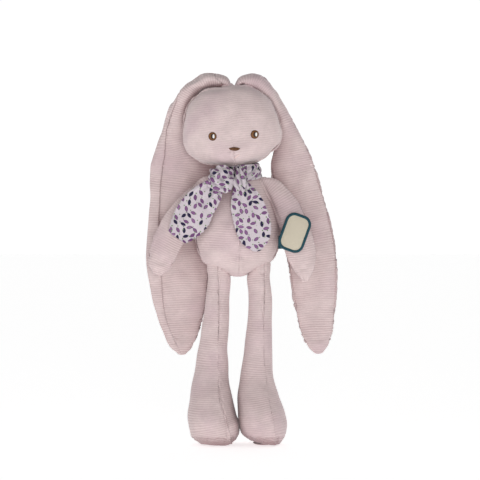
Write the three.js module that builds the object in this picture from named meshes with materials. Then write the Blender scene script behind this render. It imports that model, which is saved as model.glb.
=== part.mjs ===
// A long-eared corduroy rabbit doll with a printed cotton scarf.
// Millimetres, +Z up. The doll faces -Y and stands on its soles at z = 0, so +X is the doll's own left.
// Each stuffed part is a cloth cover, sewn from panels, around a core of filling.
import * as THREE from "three";

// Cloth and clearances
const CLOTH = 1.0; // thickness of the corduroy panels
const GAP = 0.3; // clearance between pieces that touch
const STITCH = 0.6; // height of the embroidery

// Where the doll's middle stands, so that the origin is the centre of its footprint
const ORIGIN_SHIFT = new THREE.Vector3(0.1, 1.6, 0);

// Every stuffed part is a row of oval cross-sections, listed from its top down.
// A section is [x, y, z, half width, half depth].
const HEAD = [
  [-8.4, 0, 243.2, 4, 3],
  [-8.3, 0, 241.8, 13, 10],
  [-8.2, 0, 238.8, 20.5, 15],
  [-8.0, 0, 233.2, 26.8, 19],
  [-7.6, 0, 224.5, 31, 22.5],
  [-7.0, 0, 214, 33, 24],
  [-6.5, 0, 205.5, 33.6, 24],
  [-6.2, 0, 198.5, 30.5, 22],
  [-5.9, 0, 193.5, 24, 18],
  [-5.7, 0, 190.2, 17, 13.5],
  [-5.6, 0, 188.6, 12, 10],
];
const HEAD_TILT = 2.6; // degrees, the doll's left side higher

const NECK = [
  [-5, 0, 190.2, 5, 4.5],
  [-5, 0, 188, 8, 7],
  [-4.6, 0, 184, 8, 7],
  [-4.6, 0, 181.5, 5.5, 5],
];

const TORSO = [
  [-4.2, 0, 185.6, 10.5, 9],
  [-4.0, 0, 180, 11.5, 10],
  [-3.8, 0, 174, 12.8, 11.2],
  [-3.5, 0, 168, 17.3, 13.5],
  [-3.2, 0, 161, 22.2, 16.3],
  [-3.1, 0, 153, 26.6, 18.6],
  [-3.0, 0, 144, 29.2, 20],
  [-2.9, 0, 134, 28.2, 19.6],
  [-2.8, 0, 125.5, 24.3, 17],
  [-2.7, 0, 119.5, 18.6, 13],
  [-2.6, 0, 116.4, 12, 8.5],
  [-2.6, 0, 115.2, 5, 4],
];

// The ears grow from the middle of the crown, arch outwards and hang behind the arms.
const EAR_LEFT = [
  [-1.6, 4, 247, 2.2, 7],
  [3, 5, 247.6, 3.2, 8.5],
  [10, 7, 246.6, 4.2, 9.5],
  [18, 10.5, 239.6, 4.6, 9],
  [23.8, 15.5, 228.5, 4.8, 7.8],
  [30.4, 19.5, 212.5, 6.4, 6.2],
  [33, 20, 193, 12.4, 4.6],
  [38, 19.5, 171, 15.8, 3.9],
  [43.2, 19, 149, 17.2, 3.6],
  [47, 18.5, 129, 17, 3.5],
  [49, 18.5, 110, 15.6, 3.4],
  [49.7, 18.5, 87, 12.4, 3.2],
  [50, 18.5, 69, 7.6, 2.8],
  [50, 18.5, 60.2, 2.6, 1.9],
];
const EAR_RIGHT = [
  [-10, 4, 245.8, 2.2, 7],
  [-14.5, 5, 247, 3.6, 8.5],
  [-21.5, 6.5, 246.8, 4.7, 9.5],
  [-31.5, 9, 242.2, 4.9, 9.5],
  [-40.8, 13.5, 230.5, 6.4, 8],
  [-43.6, 18.5, 211, 10.4, 5.6],
  [-44.4, 20, 188, 14.6, 4.3],
  [-45, 19.5, 166, 17, 3.8],
  [-45, 19, 142.5, 18.9, 3.6],
  [-44.7, 18.5, 121, 20, 3.5],
  [-43.6, 18.5, 104, 18.7, 3.4],
  [-42.2, 18.5, 84, 15, 3.2],
  [-40.4, 18.5, 68.5, 8.6, 2.8],
  [-39, 18.5, 60.2, 2.6, 1.9],
];
const EAR_ROOT_ROWS = 4; // sections that stay on the head
// The back panel of the right ear rolls forward round its outer edge; the left ear's seams lie on its edges.
const EAR_SEAMS = { left: [-90, 90], right: [-34, 90] };

const ARM_LEFT = [
  [14.8, -3, 179.8, 1.8, 2],
  [16, -3, 178, 4.3, 4.4],
  [18, -3.3, 174, 5.8, 6],
  [23.2, -4, 167.5, 7, 6.8],
  [29.5, -5, 158, 7.7, 7],
  [34.8, -6, 147.5, 8, 7],
  [38.6, -6.5, 137.5, 8.2, 7],
  [41.6, -7, 127.5, 7.8, 6.6],
  [43.4, -7, 118, 5.6, 5],
  [44, -7, 112, 2, 2],
];
const ARM_RIGHT = [
  [-23.4, -3, 180.4, 1.6, 2],
  [-24, -3, 179, 3.4, 4.4],
  [-26, -3.3, 174.8, 5.6, 6],
  [-31.6, -4, 167.4, 8, 6.8],
  [-38.5, -5, 158.8, 9.2, 7],
  [-45.5, -6, 149, 9.4, 7],
  [-51, -6.5, 138, 9.2, 7],
  [-55, -7, 127.5, 8.6, 6.6],
  [-57, -7, 119.5, 6.6, 5.2],
  [-57.6, -7, 116, 3, 2.6],
];

const LEG_LEFT = [
  [11.3, 0, 114.6, 2, 1.5],
  [11.3, 0, 113.2, 5.4, 3.8],
  [11.4, 0, 110, 7.6, 5],
  [12.2, 0, 103, 8.4, 7.4],
  [12.6, 0, 90, 8.5, 8.4],
  [11.9, 0, 74, 9.2, 9],
  [11.3, -0.5, 58, 10.6, 9.8],
  [11.4, -2, 44, 12.5, 12.4],
  [12.3, -5.5, 31, 14.8, 17.5],
  [14.1, -7.5, 16, 16.5, 21.3],
  [14.4, -7.8, 7, 15.2, 19.6],
  [14.4, -7.8, 1.8, 12, 16],
];
const LEG_RIGHT = [
  [-16, 0, 114.6, 2, 1.5],
  [-16, 0, 113.2, 5.4, 3.8],
  [-16.2, 0, 110, 7.4, 5],
  [-17, 0, 103, 8.2, 7.4],
  [-17.6, 0, 90, 8.8, 8.4],
  [-19.4, 0, 74, 9.4, 9],
  [-21.1, -0.5, 58, 11, 9.8],
  [-21.4, -2, 43, 13.1, 12.4],
  [-20.6, -5.5, 29, 16, 17.5],
  [-19.9, -7.5, 14, 17, 21.3],
  [-19.6, -7.8, 6.5, 15.6, 19.6],
  [-19.6, -7.8, 1.8, 12, 16],
];
const SOLE_CLOTH = 1.2; // thickness of the sole
const SOLE_EDGE = 0.6; // how far the sole stays inside the end of the leg

// Scarf: a flat band round the neck, a knot in front and two leaf-shaped tails
const SCARF_TOP = 184.6;
const SCARF_BOTTOM = 175.2;
const SCARF_SECTION = { width: 15.6, depth: 14.6, cloth: 2, x: -4.3 };
const KNOT = [
  [-9.2, -20.6, 185.2, 3.2, 1.6],
  [-9.4, -20.8, 182.6, 6.6, 3.2],
  [-9.8, -21, 178, 8, 3.9],
  [-9.8, -21, 174, 6.4, 3.2],
  [-9.8, -20.8, 171.4, 2.8, 1.6],
];
const TAIL_LEFT = [
  [-5.4, -22.4, 170.6, 2.6, 1.2],
  [-2.4, -22.8, 164, 8.2, 1.5],
  [2.4, -23, 154.6, 11.8, 1.6],
  [7.2, -22.8, 145, 11.8, 1.6],
  [11.2, -21.8, 136.4, 7.4, 1.5],
  [13, -21, 131, 2.4, 1.2],
];
const TAIL_RIGHT = [
  [-14.8, -20.6, 171.2, 2.8, 1.2],
  [-20, -20.4, 166.2, 8.2, 1.5],
  [-28, -19.8, 157.4, 11.2, 1.6],
  [-35, -18.4, 149, 11.8, 1.6],
  [-40.4, -17.2, 142.4, 10, 1.5],
  [-42, -16.8, 139.8, 7, 1.2],
];

// Sewn-in side label, plain, with an overlocked border
const LABEL = { width: 16.5, height: 25, corner: 5.5, border: 1.6, cloth: 0.8, tilt: 20 };
const LABEL_CENTRE = [35.4, -15.4, 143.4];
const LABEL_STEM = { from: [25.2, -10.6], height: 9, drop: -6.5, lap: 4, root: [-0.8, -0.6] };

// Face embroidery, as [across, up] on the face, from the middle of the head
const EYE = { across: 13.9, up: -6.8, radius: 3.05, hole: 1.85 };
const PUPIL = { radius: 0.8, offset: -0.85 };
const GLINT = { across: 0.62, up: 1.1, offset: 0.9 };
const NOSE = { across: 0.2, up: -15.7, width: 7.8, height: 2.8 };
const MOUTH = { across: 1.6, up: -20.4, width: 4.2, height: 0.9, tilt: 34 };
const FACE_MIDDLE = [-6, 215.5]; // across and height of the middle of the head
const FACE_GAP = 0.45; // clearance between the face and the embroidery

const COLOURS = {
  corduroy: 0xd3bfc0,
  corduroyShade: 0xc9b2b4,
  filling: 0xf4f1ea,
  scarf: 0xcfc4d2,
  labelCloth: 0xe6dcc8,
  labelBorder: 0x1d4c58,
  brown: 0x6e4a2f,
  darkBrown: 0x3a261a,
  white: 0xffffff,
  pink: 0xe3c9ca,
};

const toy = new THREE.Group();
const DEG = Math.PI / 180;
const BACK = new THREE.Vector3(0, 1, 0);
const SMALLEST = 0.3; // least half size of a section's inside

function cloth(colour) {
  return new THREE.MeshStandardMaterial({ color: colour, roughness: 0.95, metalness: 0 });
}

function add(name, geometry, colour) {
  const mesh = new THREE.Mesh(geometry, cloth(colour));
  mesh.name = name;
  toy.add(mesh);
  return mesh;
}

// A closed mesh from vertices and triangles, turned so that its faces point out
function solid(points, faces) {
  let volume = 0;
  for (const [a, b, c] of faces) {
    volume += points[a].dot(new THREE.Vector3().crossVectors(points[b], points[c]));
  }
  const outward = volume > 0 ? faces : faces.map(([a, b, c]) => [a, c, b]);
  const geometry = new THREE.BufferGeometry();
  geometry.setAttribute("position", new THREE.Float32BufferAttribute(points.flatMap((p) => p.toArray()), 3));
  geometry.setIndex(outward.flat());
  geometry.computeVertexNormals();
  return geometry;
}

// Joins equal loops of points into a closed skin. Each end is closed by its own list of triangles. From the
// point insideFrom on, the loops run the other way round, so their diagonals are turned to match the core's.
function skin(loops, endFaces, insideFrom = Infinity) {
  const size = loops[0].length;
  const faces = [];
  for (let row = 0; row + 1 < loops.length; row += 1) {
    for (let k = 0; k < size; k += 1) {
      const a = row * size + k;
      const b = row * size + ((k + 1) % size);
      if (k < insideFrom) {
        faces.push([a, b, b + size], [a, b + size, a + size]);
      } else {
        faces.push([a, b, a + size], [b, b + size, a + size]);
      }
    }
  }
  const last = (loops.length - 1) * size;
  for (const [a, b, c] of endFaces) {
    faces.push([a, c, b], [a + last, b + last, c + last]);
  }
  return solid(loops.flat(), faces);
}

// The axes of every section: across points towards +X on a part that hangs straight down, back points towards +Y.
function ovals(sections) {
  return sections.map(([x, y, z, width, depth], i) => {
    const before = sections[Math.max(i - 1, 0)];
    const after = sections[Math.min(i + 1, sections.length - 1)];
    const along = new THREE.Vector3(after[0] - before[0], 0, after[2] - before[2]).normalize();
    const across = new THREE.Vector3().crossVectors(along, BACK);
    return { centre: new THREE.Vector3(x, y, z), along, across, width, depth };
  });
}

function slid(section, distance) {
  return { ...section, centre: section.centre.clone().addScaledVector(section.along, distance) };
}

// The point of a section at an angle from its front middle, inset from its outer surface
function onOval(section, angle, inset) {
  const width = Math.max(section.width - inset, SMALLEST);
  const depth = Math.max(section.depth - inset, SMALLEST);
  return section.centre
    .clone()
    .addScaledVector(section.across, width * Math.sin(angle * DEG))
    .addScaledVector(BACK, -depth * Math.cos(angle * DEG));
}

// A core of filling, or any full oval body
function core(sections, inset, sides) {
  const step = 360 / sides;
  const loops = sections.map((section) =>
    Array.from({ length: sides }, (_, k) => onOval(section, k * step, inset)),
  );
  const ends = Array.from({ length: sides - 2 }, (_, k) => [0, k + 1, k + 2]);
  return skin(loops, ends);
}

// A cloth panel over part of the sections, from one seam's angle to the next one's
function panel(sections, from, to, sides) {
  const step = 360 / sides;
  const angles = [from];
  for (let a = Math.ceil((from + 1) / step) * step; a < to - 1; a += step) {
    angles.push(a);
  }
  angles.push(to);
  const loops = sections.map((section) => {
    const place = (angle, inset) => {
      const point = onOval(section, angle, inset);
      const side = Number(angle === from) - Number(angle === to);
      const ahead = onOval(section, angle + 1, 0).sub(onOval(section, angle - 1, 0)).normalize();
      return point.addScaledVector(ahead, (side * GAP) / 2);
    };
    const outside = angles.map((angle) => place(angle, 0));
    const inside = angles.map((angle) => place(angle, CLOTH));
    return [...outside, ...inside.reverse()];
  });
  const count = angles.length;
  const ends = [];
  for (let k = 0; k + 1 < count; k += 1) {
    const inner = 2 * count - 1 - k;
    ends.push([k, k + 1, inner - 1], [k, inner - 1, inner]);
  }
  return skin(loops, ends, count);
}

// Panels, seamed at the given angles, around a core that stops short of both ends
function stuffedPart(name, sections, panels, sides, emptyTop = 1, emptyEnd = 1) {
  for (const [label, from, to] of panels) {
    add(`${name}_${label}`, panel(sections, from, to, sides), COLOURS.corduroy);
  }
  const filled = sections.slice(emptyTop, sections.length - emptyEnd);
  add(`${name}_filling`, core(filled, CLOTH + GAP, sides), COLOURS.filling);
}

// A flat plate of an outline, with its back at y = 0 and its front at y = -thickness
function plate(shape, thickness, curveSegments = 6) {
  const geometry = new THREE.ExtrudeGeometry(shape, { depth: thickness, bevelEnabled: false, curveSegments });
  geometry.rotateX(Math.PI / 2);
  return geometry;
}

function oval(across, up, x = 0) {
  const shape = new THREE.Shape();
  shape.absellipse(x, 0, across, up, 0, 2 * Math.PI);
  return shape;
}

// Head: a face panel and a back panel round the filling, tilted a little to the doll's right
const HEAD_SIDES = 20;
const headAcross = new THREE.Vector3(Math.cos(HEAD_TILT * DEG), 0, Math.sin(HEAD_TILT * DEG));
const head = ovals(HEAD).map((section) => ({ ...section, across: headAcross }));
const headPanels = [
  ["face_panel", -90, 90],
  ["back_panel", 90, 270],
];
stuffedPart("head", head, headPanels, HEAD_SIDES, 1, 2);

// Puts a flat plate on the face, with its back just clear of the cloth
function onFace(mesh, across, up) {
  const tilt = HEAD_TILT * DEG;
  const x = FACE_MIDDLE[0] + across * Math.cos(tilt) - up * Math.sin(tilt);
  const z = FACE_MIDDLE[1] + across * Math.sin(tilt) + up * Math.cos(tilt);
  const front = facePoint(x, z);
  const right = facePoint(x + 1, z);
  const above = facePoint(x, z + 1);
  const normal = new THREE.Vector3().crossVectors(right.sub(front), above.sub(front)).normalize();
  const turn = new THREE.Quaternion().setFromUnitVectors(new THREE.Vector3(0, -1, 0), normal);
  mesh.quaternion.copy(turn.multiply(mesh.quaternion));
  mesh.position.copy(front.addScaledVector(normal, FACE_GAP));
}

// The front surface of the head at a place seen from in front
function facePoint(x, z) {
  const below = HEAD.findIndex((section) => section[2] <= z);
  const [low, high] = [HEAD[below], HEAD[below - 1]];
  const t = (z - low[2]) / (high[2] - low[2]);
  const [cx, , , width, depth] = low.map((value, i) => value + (high[i] - value) * t);
  const side = Math.min(Math.abs(x - cx) / width, 0.95);
  return new THREE.Vector3(x, -depth * Math.sqrt(1 - side * side), z);
}

for (const [side, sign] of [["left", 1], ["right", -1]]) {
  const ring = oval(EYE.radius, EYE.radius);
  ring.holes.push(oval(EYE.hole, EYE.hole * 0.85));
  const pieces = [
    ["iris", ring, COLOURS.brown],
    ["pupil", oval(PUPIL.radius, PUPIL.radius, PUPIL.offset), COLOURS.darkBrown],
    ["highlight", oval(GLINT.across, GLINT.up, GLINT.offset), COLOURS.white],
  ];
  for (const [piece, shape, colour] of pieces) {
    onFace(add(`eye_${side}_${piece}`, plate(shape, STITCH), colour), sign * EYE.across, EYE.up);
  }
}

const noseShape = new THREE.Shape();
noseShape.moveTo(-NOSE.width / 2, 0.2 * NOSE.height);
noseShape.quadraticCurveTo(0, 0.9 * NOSE.height, NOSE.width / 2, 0.2 * NOSE.height);
noseShape.quadraticCurveTo(0, -1.1 * NOSE.height, -NOSE.width / 2, 0.2 * NOSE.height);
onFace(add("nose_embroidery", plate(noseShape, STITCH), COLOURS.brown), NOSE.across, NOSE.up);

const mouth = add("mouth_stitch", plate(oval(MOUTH.width / 2, MOUTH.height / 2), STITCH), COLOURS.pink);
mouth.rotateY(-MOUTH.tilt * DEG);
onFace(mouth, MOUTH.across, MOUTH.up);

// Neck and torso
const TORSO_SIDES = 16;
add("neck_filling", core(ovals(NECK), 0, TORSO_SIDES), COLOURS.filling);
const torsoPanels = [
  ["front_right_panel", -90, 0],
  ["front_left_panel", 0, 90],
  ["back_panel", 90, 270],
];
stuffedPart("torso", ovals(TORSO), torsoPanels, TORSO_SIDES);

// Ears: a root that stays on the head, and the part that hangs from it
const EAR_SIDES = 12;
for (const [side, sections] of [["left", EAR_LEFT], ["right", EAR_RIGHT]]) {
  const ear = ovals(sections);
  const fold = ear[EAR_ROOT_ROWS - 1];
  const [from, to] = EAR_SEAMS[side];
  const panels = [
    ["front_panel", from, to],
    ["back_panel", to, from + 360],
  ];
  const root = [...ear.slice(0, EAR_ROOT_ROWS - 1), slid(fold, -GAP / 2)];
  const hanging = [slid(fold, GAP / 2), ...ear.slice(EAR_ROOT_ROWS)];
  add(`ear_${side}_root`, core(root, 0, EAR_SIDES), COLOURS.corduroy);
  stuffedPart(`ear_${side}`, hanging, panels, EAR_SIDES);
}

// Arms and legs
const LIMB_SIDES = 12;
for (const [side, sections] of [["left", ARM_LEFT], ["right", ARM_RIGHT]]) {
  const panels = [
    ["front_panel", -90, 90],
    ["back_panel", 90, 270],
  ];
  stuffedPart(`arm_${side}`, ovals(sections), panels, LIMB_SIDES);
}
for (const [side, sections] of [["left", LEG_LEFT], ["right", LEG_RIGHT]]) {
  const [first, second] = side === "left" ? ["inner", "outer"] : ["outer", "inner"];
  const panels = [
    [`${first}_panel`, -180, 0],
    [`${second}_panel`, 0, 180],
  ];
  stuffedPart(`leg_${side}`, ovals(sections), panels, LIMB_SIDES);
  const [x, y, , width, depth] = sections[sections.length - 1];
  const sole = [SOLE_CLOTH, 0].map((z) => [x, y, z, width - SOLE_EDGE, depth - SOLE_EDGE]);
  add(`leg_${side}_sole`, core(ovals(sole), 0, LIMB_SIDES), COLOURS.corduroyShade);
}

// Scarf
const scarfRing = new THREE.Shape();
scarfRing.absellipse(0, 0, SCARF_SECTION.width, SCARF_SECTION.depth, 0, 2 * Math.PI);
const scarfHole = new THREE.Path();
const { cloth: scarfCloth, width: scarfWidth, depth: scarfDepth } = SCARF_SECTION;
scarfHole.absellipse(0, 0, scarfWidth - scarfCloth, scarfDepth - scarfCloth, 0, 2 * Math.PI);
scarfRing.holes.push(scarfHole);
const bandHeight = SCARF_TOP - SCARF_BOTTOM;
const band = new THREE.ExtrudeGeometry(scarfRing, { depth: bandHeight, bevelEnabled: false, curveSegments: 10 });
band.translate(SCARF_SECTION.x, 0, SCARF_BOTTOM);
add("scarf_neck_band", band, COLOURS.scarf);
const SCARF_SIDES = 10;
add("scarf_knot", core(ovals(KNOT), 0, SCARF_SIDES), COLOURS.scarf);
add("scarf_tail_left", core(ovals(TAIL_LEFT), 0, SCARF_SIDES), COLOURS.scarf);
add("scarf_tail_right", core(ovals(TAIL_RIGHT), 0, SCARF_SIDES), COLOURS.scarf);

// Side label: a rounded cloth tag with a border, and the stem that is caught in the side seam
function tagOutline(width, height, corner) {
  const shape = new THREE.Shape();
  const [w, h] = [width / 2, height / 2];
  shape.moveTo(-w + corner, -h);
  shape.lineTo(w - corner, -h);
  shape.absarc(w - corner, -h + corner, corner, -Math.PI / 2, 0);
  shape.lineTo(w, h - corner);
  shape.absarc(w - corner, h - corner, corner, 0, Math.PI / 2);
  shape.lineTo(-w + corner, h);
  shape.absarc(-w + corner, h - corner, corner, Math.PI / 2, Math.PI);
  shape.lineTo(-w, -h + corner);
  shape.absarc(-w + corner, -h + corner, corner, Math.PI, 1.5 * Math.PI);
  return shape;
}
const { width: tagWidth, height: tagHeight, corner, border } = LABEL;
const innerWidth = tagWidth - 2 * border;
const innerHeight = tagHeight - 2 * border;
const innerCorner = corner - border;
const hem = tagOutline(tagWidth, tagHeight, corner);
hem.holes.push(tagOutline(innerWidth, innerHeight, innerCorner));
const face = tagOutline(innerWidth - 2 * GAP, innerHeight - 2 * GAP, innerCorner - GAP);
for (const [name, shape, colour] of [
  ["label_border", hem, COLOURS.labelBorder],
  ["label_face", face, COLOURS.labelCloth],
]) {
  const tag = add(name, plate(shape, LABEL.cloth), colour);
  tag.rotateY(LABEL.tilt * DEG);
  tag.position.set(...LABEL_CENTRE);
}
const [stemX, stemY] = LABEL_STEM.from;
const [rootX, rootY] = LABEL_STEM.root;
const [tagX, tagY] = [LABEL_CENTRE[0] - tagWidth / 2, LABEL_CENTRE[1] + GAP];
const stem = new THREE.Shape();
stem.moveTo(stemX, stemY);
stem.lineTo(tagX, tagY + LABEL.cloth);
stem.lineTo(tagX + LABEL_STEM.lap, tagY + LABEL.cloth);
stem.lineTo(tagX + LABEL_STEM.lap, tagY);
stem.lineTo(tagX + rootX, tagY);
stem.lineTo(stemX + rootX, stemY + rootY);
const stemGeometry = new THREE.ExtrudeGeometry(stem, { depth: LABEL_STEM.height, bevelEnabled: false });
stemGeometry.translate(0, 0, LABEL_CENTRE[2] + LABEL_STEM.drop - LABEL_STEM.height / 2);
add("label_stem", stemGeometry, COLOURS.labelBorder);

toy.position.copy(ORIGIN_SHIFT);
export default toy;
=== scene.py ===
"""A long-eared needlecord rabbit doll with a print scarf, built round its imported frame. It faces -Y, +Z up.

Every piece is a grid of points, worked out in millimetres: its rows run along the piece, and its columns run
right round it. A stuffed part's grid is lofted through a few oval sections, fitted to the part's CAD box,
inflated as cloth, and then given its seams, puckers and ribs.
"""

import math

import bpy
import numpy as np
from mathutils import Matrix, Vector
from mathutils.bvhtree import BVHTree


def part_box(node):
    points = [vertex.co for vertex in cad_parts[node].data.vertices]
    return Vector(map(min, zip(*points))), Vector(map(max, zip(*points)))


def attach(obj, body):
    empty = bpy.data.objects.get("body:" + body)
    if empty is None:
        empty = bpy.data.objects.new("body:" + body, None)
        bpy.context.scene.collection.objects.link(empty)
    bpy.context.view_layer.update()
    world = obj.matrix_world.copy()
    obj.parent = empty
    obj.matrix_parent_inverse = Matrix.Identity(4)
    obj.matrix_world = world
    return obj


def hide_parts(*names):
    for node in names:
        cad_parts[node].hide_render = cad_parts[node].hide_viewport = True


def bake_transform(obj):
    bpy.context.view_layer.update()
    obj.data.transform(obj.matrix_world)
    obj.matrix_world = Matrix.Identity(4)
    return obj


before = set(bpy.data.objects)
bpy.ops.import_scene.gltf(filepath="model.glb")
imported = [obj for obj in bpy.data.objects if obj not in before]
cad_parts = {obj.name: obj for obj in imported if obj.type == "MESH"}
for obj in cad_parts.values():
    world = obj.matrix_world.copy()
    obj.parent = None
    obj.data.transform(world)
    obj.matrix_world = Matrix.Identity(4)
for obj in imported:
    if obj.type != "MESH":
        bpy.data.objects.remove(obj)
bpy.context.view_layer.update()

MM = 0.001
TURN = 2 * math.pi
MIDDLE = np.array((0.1, 1.6, 0.0))  # where the sections' zero lies in the frame
BACK = np.array((0.0, 1.0, 0.0))

# Camera: nearly level with the doll's middle, through a portrait lens
CAMERA_LENS = 177.8
CAMERA_DISTANCE = 1.6
CAMERA_AIM = (-0.0013, -0.008, 0.1384)
CAMERA_RISE = 1.5  # degrees above the level

# Studio: a sky that is dimmer in front of the doll and overhead, and a floor that glows like lit paper
LIGHT_AIM = (0, 0, 0.13)
SKY_BEHIND = 1.02
SKY_IN_FRONT = 0.54
SKY_OVERHEAD = 0.3
FLOOR_REACH = 4.0
FLOOR_DROP = 0.0002
FLOOR_GLOW = 0.6

# Cloth, in millimetres
RIB = 1.56  # pitch of the needlecord
RIB_HEIGHT = 0.045
ROW = RIB / 5  # spacing of the rows
COLUMN = 1.2  # mean spacing of the columns
SEAM_DEPTH = 0.5
SEAM_WIDTH = 0.55
PUCKER = 0.13
PUCKER_LENGTH = 5.0
PUCKER_REACH = 3.2
PLUMP_AT = 2.4  # how far from a seam the cloth is fullest
PLUMP_WIDTH = 1.7
LUMP = 0.22  # height of the filling's unevenness
DOME = 1.6  # most that a part's closed end stands beyond its last section
DOME_TURNS = (30, 60, 84)  # degrees round the dome at which sections are added

# Cloth simulation: a coarser grid, at a size that the solver handles well
SIM_STEP = 2.2  # millimetres between its points
SIM_SCALE = 0.02  # the solver's metres for each millimetre of the doll
SIM_FRAMES = 22
SIM_PINNED_ROWS = 4  # at each end of a part
SIM_EASE = 0.018  # how much larger the cloth is cut than the shape it is sewn to
SIM_MOST = 0.9  # most that the cloth moves, in millimetres
SIM_CLOTH = {
    "quality": 6, "mass": 0.02, "air_damping": 2.0, "tension_stiffness": 12.0, "compression_stiffness": 12.0,
    "shear_stiffness": 6.0, "bending_stiffness": 1.5, "shrink_min": -SIM_EASE, "use_pressure": True,
    "uniform_pressure_force": 1.5, "pin_stiffness": 1.0,
}


# ---------------------------------------------------------------- camera, light and floor

def assign(thing, **values):
    for name, value in values.items():
        setattr(thing, name, value)
    return thing


def add_object(name, data):
    thing = bpy.data.objects.new(name, data)
    bpy.context.scene.collection.objects.link(thing)
    return thing


def add_camera():
    data = assign(bpy.data.cameras.new("camera"), lens=CAMERA_LENS, sensor_width=36.0, clip_start=0.01)
    camera = add_object("camera", data)
    rise = math.radians(CAMERA_RISE)
    camera.location = Vector(CAMERA_AIM) + Vector((0, -math.cos(rise), math.sin(rise))) * CAMERA_DISTANCE
    camera.rotation_euler = (math.radians(90) - rise, 0, 0)
    bpy.context.scene.camera = camera


def add_light(name, place, size, power, colour):
    data = assign(bpy.data.lights.new(name, "AREA"), shape="DISK", size=size, energy=power, color=colour)
    light = add_object(name, data)
    light.location = place
    light.rotation_euler = (Vector(LIGHT_AIM) - Vector(place)).to_track_quat("-Z", "Y").to_euler()


def add_studio():
    bpy.context.scene.view_settings.view_transform = "Standard"
    world = bpy.data.worlds.new("studio")
    world.use_nodes = True
    bpy.context.scene.world = world
    sky = Nodes(world.node_tree)
    way = sky.split(sky.node("ShaderNodeTexCoord", {}))
    overhead = sky.remap(way["Z"], 0.15, 0.9, 1.0, SKY_OVERHEAD, kind="LINEAR")
    behind = sky.remap(way["Y"], -0.4, 0.5, SKY_IN_FRONT, SKY_BEHIND, kind="LINEAR")
    horizon = sky.remap(way["Z"], 0.0, 0.22, SKY_BEHIND, SKY_IN_FRONT)
    background = world.node_tree.nodes["Background"]
    sky.put(background.inputs["Strength"], sky.times(overhead, sky.math("MAXIMUM", behind, horizon)))
    sky.put(background.inputs["Color"], (1.0, 1.0, 1.0))
    add_light("key", (0.1, -1.45, 0.04), 0.5, 9.6, (1.0, 0.995, 0.985))
    add_light("fill", (-0.9, -1.1, 0.2), 0.9, 1.8, (0.98, 0.99, 1.0))
    mesh = bpy.data.meshes.new("floor")
    corners = [(x * FLOOR_REACH, y * FLOOR_REACH, 0) for x, y in ((-1, -1), (1, -1), (1, 1), (-1, 1))]
    mesh.from_pydata(corners, [], [(0, 1, 2, 3)])
    paper = Surface("paper", roughness=0.9)
    paper.put(paper.shader.inputs["Emission Color"], (1.0, 1.0, 1.0))
    paper.put(paper.shader.inputs["Emission Strength"], FLOOR_GLOW)
    mesh.materials.append(paper.finish((0.9, 0.9, 0.9)))
    floor = add_object("floor", mesh)
    floor.location.z = -FLOOR_DROP


# ---------------------------------------------------------------- materials

def linear(red, green, blue):
    """The linear colour of an sRGB one from 0 to 255."""
    shares = [value / 255 for value in (red, green, blue)]
    return tuple(v / 12.92 if v <= 0.04045 else ((v + 0.055) / 1.055) ** 2.4 for v in shares)


class Nodes:
    """A node tree under construction: its nodes are made and linked by short calls. A span remaps a value."""

    def __init__(self, tree):
        self.tree = tree

    def put(self, socket, value):
        if isinstance(value, bpy.types.NodeSocket):
            self.tree.links.new(value, socket)
        elif isinstance(value, tuple) and socket.type == "RGBA":
            socket.default_value = (*value, 1)
        else:
            socket.default_value = value

    def node(self, kind, inputs, output=0, **settings):
        node = assign(self.tree.nodes.new(kind), **settings)
        for key, value in inputs.items():
            self.put(node.inputs[key], value)
        return node.outputs[output]

    def split(self, vector):
        return self.node("ShaderNodeSeparateXYZ", {0: vector}).node.outputs

    def attribute(self, name, output="Fac"):
        return self.node("ShaderNodeAttribute", {}, output, attribute_name=name)

    def math(self, operation, a, b=0.0):
        return self.node("ShaderNodeMath", {0: a, 1: b}, operation=operation)

    def times(self, a, b):
        return self.math("MULTIPLY", a, b)

    def remap(self, value, low, high, to_low=0.0, to_high=1.0, kind="SMOOTHSTEP"):
        inputs = {"Value": value, "From Min": low, "From Max": high, "To Min": to_low, "To Max": to_high}
        return self.node("ShaderNodeMapRange", inputs, interpolation_type=kind)

    def noise(self, vector, scale, detail=2.0):
        """Noise from 0 to 1. Its scale is one number, or one for each axis."""
        if isinstance(scale, tuple):
            vector = self.node("ShaderNodeVectorMath", {0: vector, 1: scale}, operation="MULTIPLY")
            scale = 1.0
        return self.node("ShaderNodeTexNoise", {"Vector": vector, "Scale": scale, "Detail": detail})

    def openness(self, reach):
        """How little a place is closed in by cloth within some metres of it, as ambient occlusion that paints
        shade into a colour.
        """
        return self.node("ShaderNodeAmbientOcclusion", {"Distance": reach}, 1, samples=12)

    def mix(self, a, b, share, *span, blend="MIX"):
        share = self.remap(share, *span) if span else share
        return self.node("ShaderNodeMix", {0: share, 6: a, 7: b}, 2, data_type="RGBA", blend_type=blend)

    def shade(self, colour, value, *span):
        """The colour times a remapped value."""
        value = self.remap(value, *span)
        grey = self.node("ShaderNodeCombineColor", {0: value, 1: value, 2: value})
        return self.mix(colour, grey, 1.0, blend="MULTIPLY")


class Surface(Nodes):
    """A material under construction."""

    def __init__(self, name, roughness, sheen=0.0, sheen_roughness=0.4):
        self.material = bpy.data.materials.new(name)
        self.material.use_nodes = True
        super().__init__(self.material.node_tree)
        self.shader = self.tree.nodes["Principled BSDF"]
        values = {"Roughness": roughness, "Sheen Weight": sheen, "Sheen Roughness": sheen_roughness}
        for key, value in {**values, "Specular IOR Level": 0.25}.items():
            self.put(self.shader.inputs[key], value)

    def finish(self, colour, height=None, distance=0.0):
        """Sets the colour, and the bump of a height, and gives the material."""
        self.put(self.shader.inputs["Base Color"], colour)
        if height:
            bump = self.node("ShaderNodeBump", {"Height": height, "Distance": distance, "Strength": 0.6})
            self.put(self.shader.inputs["Normal"], bump)
        return self.material


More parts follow.
